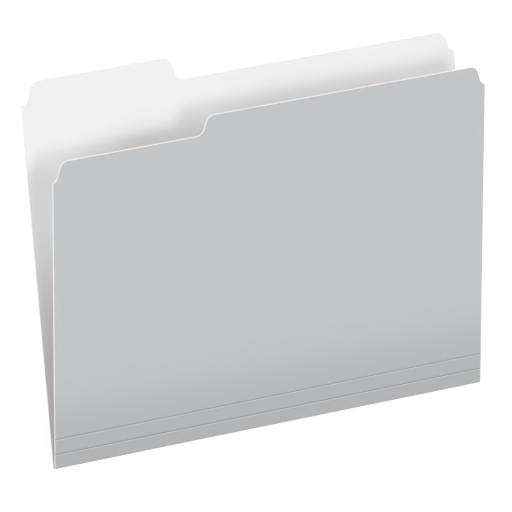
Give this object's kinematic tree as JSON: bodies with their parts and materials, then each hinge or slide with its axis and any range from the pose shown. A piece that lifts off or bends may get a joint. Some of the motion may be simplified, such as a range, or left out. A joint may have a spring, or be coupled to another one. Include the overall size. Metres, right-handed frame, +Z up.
{
  "type": "file folder",
  "caption": "Letter-size third-cut file folder of two-tone card, ajar on its back leaf, with a left tab, an undercut front and scores for expansion.",
  "frame": {"origin": "under the middle of the folder's overall rectangle, on the surface that the back leaf lies on", "axes": "+X along the bottom fold, with the tab at -X; +Y from the fold to the tab; +Z up, out of the back leaf's white inner face"},
  "size_m": [0.2984, 0.2414, 0.0402],
  "materials": {
    "two_tone_card": "matt card, grey print outside, white inside and on the cut edges"
  },
  "bodies": {
    "back_leaf": {"back_leaf": "two_tone_card"},
    "bottom_fold": {"bottom_fold": "two_tone_card"},
    "lower_gusset_panel": {"lower_gusset_panel": "two_tone_card"},
    "upper_gusset_panel": {"upper_gusset_panel": "two_tone_card"},
    "front_leaf": {"front_leaf": "two_tone_card"}
  },
  "joints": [
    {"name": "opening", "type": "hinge", "parent": "back_leaf", "child": "bottom_fold", "pos_m": [0, -0.12081, 0.0008], "axis": [1, 0, 0], "range_deg": [-10.4, 169.6], "deforming": ["bottom_fold"]},
    {"name": "expansion", "type": "hinge", "parent": "bottom_fold", "child": "lower_gusset_panel", "pos_m": [0, -0.12037, 0.00133], "axis": [-1, 0, 0], "range_deg": [-90, 0]},
    {"name": "lower_score", "type": "hinge", "parent": "lower_gusset_panel", "child": "upper_gusset_panel", "pos_m": [0, -0.11088, 0.00298], "axis": [1, 0, 0], "range_deg": [-45, 0]},
    {"name": "upper_score", "type": "hinge", "parent": "upper_gusset_panel", "child": "front_leaf", "pos_m": [0, -0.10104, 0.00479], "axis": [1, 0, 0], "range_deg": [-45, 0]}
  ],
  "couplings": [
    {"joint": "lower_score", "follows": "expansion", "ratio": 0.5},
    {"joint": "upper_score", "follows": "expansion", "ratio": 0.5}
  ]
}
